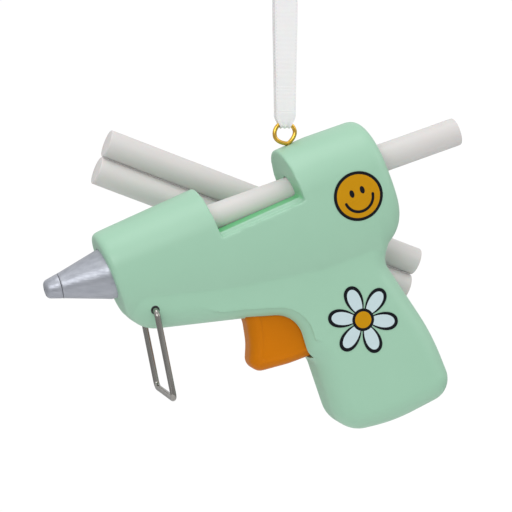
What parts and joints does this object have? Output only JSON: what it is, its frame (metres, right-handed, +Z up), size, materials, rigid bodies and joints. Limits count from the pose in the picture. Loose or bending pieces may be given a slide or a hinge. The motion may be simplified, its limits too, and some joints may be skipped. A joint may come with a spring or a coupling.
{
  "type": "hanging mini glue gun",
  "caption": "Small hanging glue gun with a cone nozzle, finger trigger, folding wire stand, loaded glue stick, clipped spare sticks and a ribbon loop.",
  "frame": {"origin": "inside top of the ribbon loop, where the hook holds it", "axes": "+Z up as it hangs, nozzle towards -X and down, the gun's left side towards -Y"},
  "size_m": [0.1077, 0.0316, 0.1214],
  "materials": {
    "body": "soft mint-green matt paint",
    "silver": "silver paint, lightly brushed",
    "alloy": "plain turned",
    "seal": "red silicone",
    "dark_rubber": "black, smooth",
    "glue": "milky white hot-melt glue",
    "dark_plastic": "plain",
    "steel": "plain bright",
    "trigger": "orange, satin",
    "stand_steel": "bright wire",
    "gold": "polished gold plate",
    "ribbon": "white satin",
    "mustard": "printed film",
    "petal": "printed film"
  },
  "bodies": {
    "hanger": {"ribbon_loop": "ribbon"},
    "gun": {"left_shell": "body", "right_shell": "body", "nozzle": "silver", "nozzle_tip": "silver", "melt_chamber": "alloy", "tube_gasket": "seal", "barrel_tube": "alloy", "inlet_bush": "dark_rubber", "trigger_pin": "steel", "return_spring": "steel", "stand_bushes": "dark_rubber", "spare_stick_upper": "glue", "spare_stick_lower": "glue", "stick_clip": "body", "screw_eye": "gold", "smiley_sticker": "mustard", "daisy_sticker": "petal", "shell_screws": "steel"},
    "trigger": {"trigger": "trigger"},
    "feed": {"feed_carriage": "dark_plastic", "link_arm": "steel"},
    "loaded_stick": {"glue_stick": "glue"},
    "stand": {"wire_stand": "stand_steel"}
  },
  "joints": [
    {"name": "gun_swing", "type": "hinge", "parent": "hanger", "child": "gun", "pos_m": [0, 0, -0.04575], "axis": [0, 1, 0], "range_deg": [-25, 25]},
    {"name": "trigger_pull", "type": "hinge", "parent": "gun", "child": "trigger", "pos_m": [-0.00783, 0, -0.08604], "axis": [0, -1, 0], "range_deg": [0, 12], "stiffness_Nm_per_rad": 0.02, "springref_deg": -17.19, "deforming": ["return_spring"]},
    {"name": "feed_slide", "type": "slide", "parent": "gun", "child": "feed", "axis": [-0.9511, 0, -0.309], "range_m": [0, 0.0027]},
    {"name": "stick_slide", "type": "slide", "parent": "feed", "child": "loaded_stick", "axis": [0.9511, 0, 0.309], "range_m": [0, 0.085]},
    {"name": "stand_fold", "type": "hinge", "parent": "gun", "child": "stand", "pos_m": [-0.03508, 0, -0.08795], "axis": [0, 1, 0], "range_deg": [-58, 94]}
  ],
  "couplings": [
    {"joint": "feed_slide", "follows": "trigger_pull", "m_per_rad": 0.012777}
  ]
}
